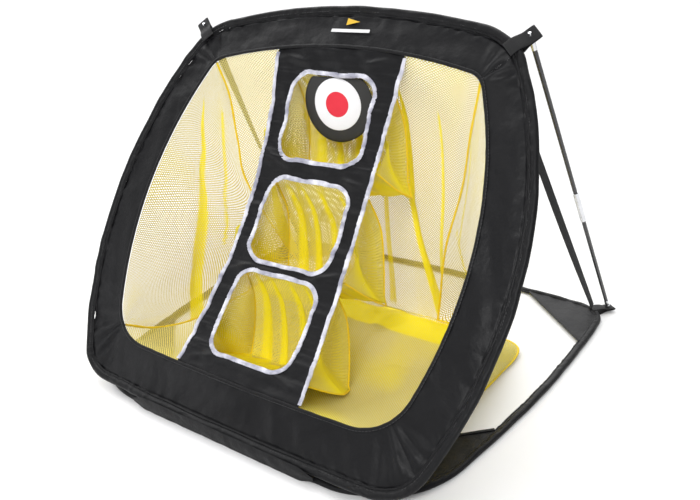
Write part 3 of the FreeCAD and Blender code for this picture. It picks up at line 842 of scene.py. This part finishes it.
def build_column_tape(side, sign):
    name = "column_tape_" + side
    up = FRONT.node(name)[:, 1]
    low, high = up.min() + 2 * MM, up.max() - 2 * MM
    heights = np.linspace(low, high, int((high - low) / (2.5 * MM)))
    edges = spans(name, FRONT, heights)
    pucker = ripple(101 + sign, (heights - low) / 0.012)[:, None]
    slow = ripple(104 + sign, (heights - low) / 0.05)[:, None]
    section = oval(13, 1.0, 1.5 * MM)
    half = (edges[:, 1] - edges[:, 0])[:, None] / 2 * (1 + 0.08 * pucker)
    x = edges.mean(1)[:, None] + half * section[..., 0]
    forward = section[..., 1] * (1 + 0.25 * pucker) + 0.4 * MM * slow
    s = np.broadcast_to(heights[:, None], x.shape)
    fold_flat(grid_piece(f"column_edge_{side}", on_column(x, s, -forward), "white_binding", "front", [name]))


# ---- netting ----
TOP_POINT, LOW_POINT = (0.218, 0.492), (0.224, 0.074)     # where seams meet the opening, on the right
TOE = (0.100, 0.396, 0.010)      # foot of the bag's right upright seam
UPRIGHTS = {"left": ((-0.212, 0.299, 0.359), (-0.204, 0.299, 0.290), (-0.196, 0.306, 0.215),
                     (-0.158, 0.368, 0.070)),
            "right": ((0.178, 0.322, 0.330), (0.160, 0.342, 0.253), (0.134, 0.349, 0.157),
                      (0.111, 0.380, 0.050))}
FLOOR_SEAM = ((0.150, 0.401, 0.006), (0.236, 0.388, 0.006), (0.242, 0.300, 0.006),
              (0.236, 0.190, 0.016), (0.228, 0.110, 0.042))
# hanging folds in mm: strength, then across, height and width from the top down
CURTAIN_FOLDS = (
    (0.75, ((77, 380, 3), (77, 342, 8), (72, 217, 10), (94, 126, 13), (114, 20, 24))),
    (0.60, ((-91, 340, 5), (-84, 267, 9), (-80, 180, 6))),
    (0.60, ((-57, 310, 4), (-52, 263, 6))),
    (0.55, ((-29, 310, 3), (-33, 250, 5))),
    (0.80, ((-160, 235, 3), (-166, 92, 26))),
    (0.60, ((-120, 240, 4), (-118, 40, 12))),
    (0.50, ((30, 300, 5), (20, 30, 12))),
    (0.55, ((132, 350, 3), (122, 40, 8))),
    (0.45, ((-10, 220, 5), (-22, 20, 14))),
)
SIDE_FOLDS = {
    "left": ((0.62, ((260, 350, 2), (256, 319, 5), (253, 283, 6), (245, 236, 10), (236, 190, 14),
                     (232, 138, 18), (229, 93, 23), (213, 45, 30), (200, 19, 34))),
             (0.45, ((284, 330, 3), (282, 276, 4), (280, 229, 4), (271, 181, 5), (268, 129, 4)))),
    "right": ((0.40, ((330, 190, 4), (300, 148, 8), (262, 120, 5))),
              (0.35, ((318, 330, 3), (322, 180, 5)))),
}
FLOOR_BAND = (0.338, 0.402)      # the doubled strip along the rear of the floor, in y
CURTAIN_GRID, SIDE_GRID, FLOOR_GRID = (120, 260), (200, 70), (130, 200)      # rows and columns


def folds_at(across, height, folds):
    """How far into a hanging fold each point is, from 0 to 1, and how far the cloth swells there."""
    weight = np.zeros_like(across)
    swell = np.zeros_like(across)
    for strength, stations in folds:
        line = np.array(stations)[::-1] * MM
        centre = np.interp(height, line[:, 1], line[:, 0])
        width = np.interp(height, line[:, 1], line[:, 2])
        ends = smooth((height - line[0, 1]) / 0.015 + 1) * smooth((line[-1, 1] - height) / 0.015 + 1)
        off = np.abs(across - centre) / (width / 2)
        weight = np.maximum(weight, strength * smooth((1.25 - off) / 0.5) * ends)
        swell += 0.45 * width * np.exp(-off ** 2) * ends
    return weight, swell


def net_sheet(name, points, gather, stands_for):
    """A sheet of netting. Gather says how closely it is gathered at each vertex, from 0 to 1. Where it is low, the
    yarn takes the darker, duller colour painted as shade of backlit threads.
    """
    made = grid_piece(name, points, "yellow_mesh", "front", [stands_for])
    layer = made.data.attributes.new("gather", "FLOAT", "POINT")
    layer.data.foreach_set("value", np.clip(np.asarray(gather, float), 0, 1).ravel())
    width, length = grid_uv(points)[-1, -1]
    fold_flat(made)


def seam_cord(name, line, radius=1.6 * MM):
    lumps = 1 + 0.18 * ripple(131, lengths(line) / 0.006)
    fold_flat(tube(name, line, radius * lumps, "amber_seam", "front", 7))


def drawn_taut(points, rounds=500):
    """A grid pulled as smooth as its fixed edges allow, as stretched netting is."""
    for _ in range(rounds):
        inner = (points[:-2, 1:-1] + points[2:, 1:-1] + points[1:-1, :-2] + points[1:-1, 2:]) / 4
        points[1:-1, 1:-1] = inner
    return points


def shares(rows, columns):
    """0 to 1 down the rows and across the columns of a grid."""
    return np.linspace(0, 1, rows)[:, None], np.linspace(0, 1, columns)[None]


def between(start, end, share):
    return start[:, None] * (1 - share[..., None]) + end[:, None] * share[..., None]


def opening_stretch(start, end, count):
    """Part of the opening's edge behind the border, anticlockwise between two points."""
    picked = evenly(stretch(inset(OPENING, -2.0 * MM), start, end), count)
    return FRONT.place(picked[:, 0], picked[:, 1], BEHIND_BORDER)


def mirrored(point):
    return np.array(point) * ((-1, 1) if len(point) == 2 else (-1, 1, 1))


def net_seams():
    """The bag's upright seams and its floor seams, by side."""
    lip = opening_stretch(LOW_POINT, TOP_POINT, 2)[0]
    top = opening_stretch(TOP_POINT, mirrored(TOP_POINT), 2)[0]
    rows = CURTAIN_GRID[0]
    uprights = {"left": through([mirrored(top), *UPRIGHTS["left"], mirrored(TOE)], rows),
                "right": through([top, *UPRIGHTS["right"], TOE], rows)}
    floor = through([TOE, *FLOOR_SEAM, lip], 150)
    return uprights, {"left": floor * (-1, 1, 1), "right": floor}


def build_back_curtain(uprights):
    """The back, between the two upright seams."""
    v, u = shares(*CURTAIN_GRID)
    edge = opening_stretch(TOP_POINT, mirrored(TOP_POINT), CURTAIN_GRID[1])[::-1]
    points = between(uprights["left"], uprights["right"], u)
    points = points + (edge - points[0])[None] * ((1 - v) ** 3)[..., None]
    free = smooth(v * 6) * smooth(u * 10) * smooth((1 - u) * 10)
    points[..., 1] += 0.030 * (hump(u) * hump(v)) * smooth(v * 6) + 0.004 * ripple(111, u * 9, v * 4) * free
    points[..., 0] += 0.004 * ripple(112, u * 15, v * 3) * free
    gather, swell = folds_at(points[..., 0], points[..., 2], CURTAIN_FOLDS)
    points[..., 1] += swell * free
    gather = gather + 0.06 + 0.10 * np.maximum(ripple(113, u * 14, v * 2), 0)
    net_sheet("net_back_curtain", points, gather, "net_back")


def build_net_side(name, side, seam, floor):
    """A side, between the border's edge and the upright and floor seams."""
    count = SIDE_GRID[0]
    down = evenly(np.vstack([seam, floor[1:]]), count)
    if side > 0:
        border = opening_stretch(LOW_POINT, TOP_POINT, count)[::-1]
    else:
        border = opening_stretch(mirrored(TOP_POINT), mirrored(LOW_POINT), count)
    t, w = shares(*SIDE_GRID)
    points = drawn_taut(between(border, down, w))
    slack = hump(w) * hump(t) ** 0.7
    points[..., 0] += side * 0.012 * slack
    gather, swell = folds_at(points[..., 1], points[..., 2], SIDE_FOLDS[name])
    points[..., 0] += side * (0.5 * swell + 0.003 * ripple(121 + side, t * 12, w * 5)) * slack
    gather = gather + 0.04 + 0.12 * np.maximum(ripple(124 + side, t * 8, w * 6), 0)
    net_sheet(f"net_side_{name}", points, gather, f"{name}_net_side")
    seam_cord(f"net_upright_seam_{name}", seam)
    seam_cord(f"net_floor_seam_{name}", floor)


def build_net_floor(floors):
    """The floor, from the border's foot back to the rear seam."""
    front = opening_stretch(mirrored(LOW_POINT), LOW_POINT, FLOOR_GRID[1])
    v, u = shares(*FLOOR_GRID)
    points = between(*(evenly(floors[name][::-1], FLOOR_GRID[0]) for name in SIDES), u)
    points = points + (front - points[0])[None] * ((1 - v) ** 4)[..., None]
    points[..., 2] -= 0.012 * (hump(u) ** 0.5 * hump(v)) * (1 - v)
    creases = np.maximum(ripple(141, u * 11, v * 5), -0.2) * 0.006 + 0.003 * ripple(142, u * 24, v * 16)
    points[..., 2] += creases * hump(np.clip(v, 0, 0.9)) * hump(u) ** 0.3
    points[..., 2] = np.maximum(points[..., 2], 1.5 * MM)
    first, last = FLOOR_BAND
    band = smooth((points[..., 1] - first) / 0.010) * smooth((last - points[..., 1]) / 0.006)
    patches = np.maximum(ripple(143, u * 10 + v * 4, v * 5), 0)
    gather = 0.14 + 0.62 * band + 0.20 * patches
    net_sheet("net_floor_sheet", points, gather, "net_floor")


def build_net_bag():
    uprights, floors = net_seams()
    build_back_curtain(uprights)
    for name in ("right", "left"):
        build_net_side(name, SIDES[name], uprights[name], floors[name])
    build_net_floor(floors)


# ---- ball pockets ----
POCKET_HALVES = (0.076, 0.086, 0.102, 0.094)     # half widths from the top hem down to the lower hem
POCKET_FOLDS = ((-0.75, 0.10, 0.5), (-0.42, 0.07, 0.6), (-0.05, 0.09, 0.5), (0.35, 0.06, 0.6),
                (0.72, 0.11, 0.5))               # place across, width and strength
POCKET_ROWS, POCKET_COLUMNS, POCKET_SIDE_COLUMNS = 90, 80, 22


def pocket_profile(name):
    """A pocket's side outline in y and z, from its top hem round its toe to its lower hem."""
    points = node_points("ball_pocket_" + name)
    up, back = FRONT.flat(points)[:, 1:].T
    picks = (np.argmax(up), np.argmax(up + 1.2 * back), np.argmax(back), np.argmin(up + back))
    hung, bend, toe, sewn = (points[pick, 1:] for pick in picks)
    profile = through([hung, (hung + bend) / 2 + (0.001, 0.002), bend + (-0.002, -0.002),
                       (bend + toe) / 2 + (0.003, 0), toe + (0.001, 0.004), toe + (-0.005, -0.001),
                       (toe + sewn) / 2 + (0, -0.007), sewn], POCKET_ROWS)
    return profile, hung + (sewn - hung) * np.linspace(0, 1, POCKET_ROWS)[:, None]


def build_pocket(name, index):
    profile, straight = pocket_profile(name)
    across = np.linspace(-1, 1, POCKET_COLUMNS)[None]
    v = np.linspace(0, 1, POCKET_ROWS)[:, None]
    half = np.interp(v, (0, 0.55, 0.70, 1), POCKET_HALVES)
    hold = smooth(v * 5) * smooth((1 - v) * 4)
    sag = (1 - across ** 2) * hump(v) ** 1.5
    main = np.empty((POCKET_ROWS, POCKET_COLUMNS, 3))
    main[..., 0] = across * half
    main[..., 1:] = profile[:, None]
    main[..., 2] -= 0.010 * sag
    main[..., 1] += 0.006 * sag
    dense = np.zeros(main.shape[:2])
    shifts = 0.05 * ripple(150 + index, np.arange(5) * 1.7)
    for (place, wide, strength), shift in zip(POCKET_FOLDS, shifts):
        near = (across - place - shift - 0.10 * v) / (wide * (0.5 + v))
        main[..., 1] += 0.005 * np.exp(-near ** 2) * hold
        dense = np.maximum(dense, strength * np.exp(-near ** 4) * hold)
    main[..., 2] += 0.004 * ripple(155 + index, across * 5 + 9, v * 6) * hold
    w = np.linspace(1, 0, POCKET_SIDE_COLUMNS, endpoint=False)[None, :, None]
    flanks = []
    for sign in SIDES.values():
        flank = np.empty((POCKET_ROWS, POCKET_SIDE_COLUMNS, 3))
        flank[..., 0] = sign * (half - 0.012 * hump(w[..., 0]) * hump(v))
        flank[..., 1:] = straight[:, None] * w + profile[:, None] * (1 - w)
        flanks.append(flank[:, ::-sign])
    points = np.concatenate([flanks[0], main, flanks[1]], 1)
    corners = np.exp(-((v - 0.68) / 0.10) ** 2)
    gather = 0.22 + 0.35 * corners * np.ones(points.shape[:2])
    gather[:, POCKET_SIDE_COLUMNS:-POCKET_SIDE_COLUMNS] += dense + 0.35 * corners * np.abs(across) ** 4
    net_sheet(f"pocket_{name}_net", points, gather, "ball_pocket_" + name)
    for side, sign in SIDES.items():
        seam_cord(f"pocket_{name}_seam_{side}", np.column_stack([sign * half[:, 0], profile]), 1.2 * MM)


# ---- target ----
DISC_REACH = np.array([0, 0.2, 0.4, 0.6, 0.8, 0.95, 1.0, 1.0, 0.95, 0.5, 0])[None]
DISC_LAYER = np.array([0, 0, 0, 0, 0, 0, 0.25, 0.75, 1, 1, 1])[None]      # 0 on its face, 1 on its back


def half_width(name):
    low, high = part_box(name)
    return (high.x - low.x) / 2


def disc(name, inner, node, proud, deep, look):
    """A disc or ring of the target, out to its node's edge and cropped along the target's top."""
    low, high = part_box("target_board")
    centre = low.z + half_width("target_board")
    turn = np.linspace(0, 2 * np.pi, 145)[:, None]
    crop = np.where(np.sin(turn) > 0, (high.z - centre) / np.maximum(np.sin(turn), 1e-6), 1)
    reach = inner + (np.minimum(half_width(node), crop) - inner) * DISC_REACH
    x = reach * np.cos(turn)
    z = centre + reach * np.sin(turn)
    curl = 2.5 * x ** 2 * (0.3 + (high.z - z) * 6)
    y = low.y - proud + DISC_LAYER * deep + curl + TARGET_TURN * x
    flat = np.stack([x + DISC_LAYER * 0.2, z], -1)
    fold_flat(grid_piece(name, np.stack([x, y, z], -1), look, "target", [node], flat))


def build_target():
    low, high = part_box("target_board")
    red = half_width("target_red_centre")
    disc("target_backing", 0.0, "target_board", 0.0, high.y - low.y, "target_black")
    disc("target_white_print", red, "target_white_ring", 0.35 * MM, 0.3 * MM, "target_white")
    disc("target_red_print", 0.0, "target_red_centre", 0.40 * MM, 0.35 * MM, "target_red")
    low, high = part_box("target_hanging_tape")
    across = np.linspace(low.x, high.x, 40)
    line = np.column_stack([across, np.full((40, 2), ((low.y + high.y) / 2, (low.z + high.z) / 2))])
    fold_flat(strap("target_tape", line, (0, 0, 1.0), high.z - low.z, 1.0 * MM, "front",
                    ["target_hanging_tape"]))


# ---- webbing tabs and straps ----
def build_tab(side, end, plane, line, body, hem, low, width):
    """A webbing loop from the hem out to the corner eyelet and back under it."""
    hole = plane.flat(middle(f"{side}_{end}_eyelet"))
    out = unit(hole[:2] - line[nearest(line, hole[:2])])
    height = -hole[2]
    loop = [(-0.030, hem + 0.9 * MM), (-0.018, hem + 1.5 * MM), (-0.009, height + 2.6 * MM),
            (-0.004, height + 1.1 * MM), (0.006, height + 1.1 * MM), (0.0105, height + 0.2 * MM),
            (0.006, height - 0.9 * MM), (-0.004, height - 1.1 * MM), (-0.009, height - 2.4 * MM),
            (-0.018, low), (-0.030, low)]
    path = through(loop, 70)
    x, s = (hole[axis] + out[axis] * path[:, 0] for axis in (0, 1))
    across = plane.axes[0] * -out[1] + plane.axes[1] * out[0]
    strap(f"{side}_{end}_webbing_tab", plane.place(x, s, -path[:, 1]), across, width, 1.5 * MM, body,
          [f"{side}_{end}_tab"])


def build_tabs():
    for side in SIDES:
        build_tab(side, "front", FRONT, FRONT_LINE, "front", HEM_HALF, -HEM_HALF - 1.0 * MM, 0.0195)
        build_tab(side, "rear", GROUND, BASE_LINE, "base", BASE_HEM_HALF, -BASE_HEM_HALF, 0.018)


def build_straps():
    """The brace straps, twisted a little, from the base hoop's rear up to the front hoop's top."""
    t = np.linspace(0, 1, 130)
    sideways = np.array((1.0, 0, 0))
    for side, sign in SIDES.items():
        points = node_points(f"{side}_brace_strap")
        upper = points[:, 2] >= np.median(points[:, 2])
        low_end, high_end = points[~upper].mean(0), points[upper].mean(0)
        run = high_end - low_end
        line = low_end + run * t[:, None]
        line[:, 2] -= 0.004 * hump(t)
        twist = sign * -0.5 * hump(t)[:, None]
        turned = unit(np.cross(sideways, run)) * np.cos(twist) + sideways * np.sin(twist)
        made = strap(f"{side}_side_strap", line, turned, 0.0115, 1.4 * MM, None, [f"{side}_brace_strap"])
        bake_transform(made)


# ---- base gussets and joining seam ----
def build_gusset(side, sign, end, toward):
    name = f"{side}_{end}_gusset"
    outline = inset(rim(name, GROUND, count=500), -2.5 * MM)
    flat, faces = cut_cloth(outline)
    x, s = flat[:, 0], flat[:, 1]
    height = 1.5 * MM + (0.7 * MM * ripple(161, x / 0.03 + 30, s / 0.03 + 9)
                         + 0.4 * MM * ripple(162, (x + s) / 0.012 + 60, (x - s) / 0.05 + 60))
    made = piece(name + "_cloth", GROUND.place(x, s, -height), faces, flat, "black_nylon", "base", [name])
    declare(flat, faces)
    inner, outer = outline[np.argmin(outline[:, 0] * sign)], outline[np.argmax(outline[:, 1] * toward)]
    t = np.linspace(0, 1, 90)[:, None]
    edge = inner * (1 - t) + outer * t
    lift = 1.9 * MM + 0.3 * MM * ripple(165, t[:, 0] * 14)
    way = unit(outer - inner)
    strap(name + "_hem", GROUND.place(edge[:, 0], edge[:, 1], -lift), (-way[1], way[0], 0), 4.5 * MM,
          2.0 * MM, "base", look="black_hem")


def build_gussets():
    for side, sign in SIDES.items():
        build_gusset(side, sign, "front", 1)
        build_gusset(side, sign, "rear", -1)


def build_joining_tape():
    low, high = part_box("hoop_joining_tape")
    x = np.linspace(low.x, high.x, 150)[:, None]
    t = np.linspace(0, 1, 16)[None]
    close = smooth((1 - np.abs(x) / high.x) / 0.15)
    z = low.z + (high.z - low.z) * (0.5 + (t - 0.5) * (0.35 + 0.65 * close))
    bow = 0.9 * MM * hump(t) * (1 + 0.4 * ripple(171, x / 0.008 + 30, t * 2)) * close
    y = low.y - bow + 0.4 * MM * ripple(172, x / 0.012 + 30, t * 3)
    grid_piece("front_joining_seam", np.stack(np.broadcast_arrays(x, y, z), -1), "black_hem", "base",
               ["hoop_joining_tape"])


# ---- carried-over CAD nodes ----
def dress_cad():
    looks = {part["node"]: part["material_slot"] for part in frame["record"]["subparts"]}
    for name, node in frame["nodes"].items():
        node.data.materials.clear()
        node.data.materials.append(MATERIALS[looks[name]])


# ---- studio ----
def put(name, data):
    made = bpy.data.objects.new(name, data)
    bpy.context.scene.collection.objects.link(made)
    return made


def make_camera():
    yaw, pitch, roll = (math.radians(angle) for angle in (CAMERA_YAW, CAMERA_PITCH, CAMERA_ROLL))
    forward = Vector((math.sin(yaw) * math.cos(pitch), math.cos(yaw) * math.cos(pitch), -math.sin(pitch)))
    level = forward.cross(Vector((0, 0, 1))).normalized()
    upright = level.cross(forward)
    right = level * math.cos(roll) + upright * math.sin(roll)
    up = upright * math.cos(roll) - level * math.sin(roll)
    camera = put("camera", bpy.data.cameras.new("camera"))
    camera.data.lens = CAMERA_LENS
    camera.data.sensor_width = SENSOR
    camera.matrix_world = Matrix.Translation(CAMERA_AT) @ Matrix((right, up, -forward)).transposed().to_4x4()
    bpy.context.scene.camera = camera


def make_lights():
    for name, (where, size, power) in LIGHTS.items():
        light = bpy.data.lights.new(name, "AREA")
        light.shape = "RECTANGLE"
        light.size = light.size_y = size
        light.energy = power
        made = put(name, light)
        made.location = where
        made.rotation_mode = "QUATERNION"
        made.rotation_quaternion = (Vector(LIGHTS_AIM) - Vector(where)).to_track_quat("-Z", "Y")


def make_floor():
    paint = Paint("studio_floor")
    cloudy = paint.noise(paint.solid, 3.0, 2.0)
    mesh = bpy.data.meshes.new("studio_floor")
    corners = [(x * FLOOR_REACH, y * FLOOR_REACH, 0) for x, y in ((-1, -1), (1, -1), (1, 1), (-1, 1))]
    mesh.from_pydata(corners, [], [(0, 1, 2, 3)])
    mesh.materials.append(paint.done(paint.blend(cloudy, (0.93, 0.93, 0.935), (0.90, 0.90, 0.905)), 0.75))
    put("studio_floor", mesh)


def make_sky():
    """A soft glow from one side over a dim fill, plain white where the camera sees it."""
    world = bpy.data.worlds.new("studio")
    world.use_nodes = True
    sky = Nodes(world.node_tree)
    way = sky.node("ShaderNodeTexCoord").outputs["Generated"]
    facing = sky.node("ShaderNodeVectorMath", {"operation": "DOT_PRODUCT"}, i0=way,
                      i1=Vector(SKY_BRIGHT_FROM).normalized()).outputs["Value"]
    shaped = sky.maths("POWER", sky.maths("MAXIMUM", facing, 0.0), SKY_FOCUS)
    level = sky.maths("MULTIPLY_ADD", shaped, SKY_GLOW, SKY_FILL)
    seen = sky.node("ShaderNodeLightPath").outputs["Is Camera Ray"]
    sky.fill(world.node_tree.nodes["Background"],
             {"Color": (1, 1, 1, 1), "Strength": sky.maths("MAXIMUM", level, seen)})
    bpy.context.scene.world = world


def main():
    make_camera()
    make_floor()
    make_sky()
    make_lights()
    bpy.context.scene.view_settings.view_transform = "Standard"
    dress_cad()
    build_hems()
    build_opening_binding()
    build_border()
    build_mark()
    build_column()
    build_net_bag()
    for index, name in enumerate(WINDOWS):
        build_pocket(name, index)
    build_target()
    build_tabs()
    build_straps()
    build_gussets()
    build_joining_tape()


main()
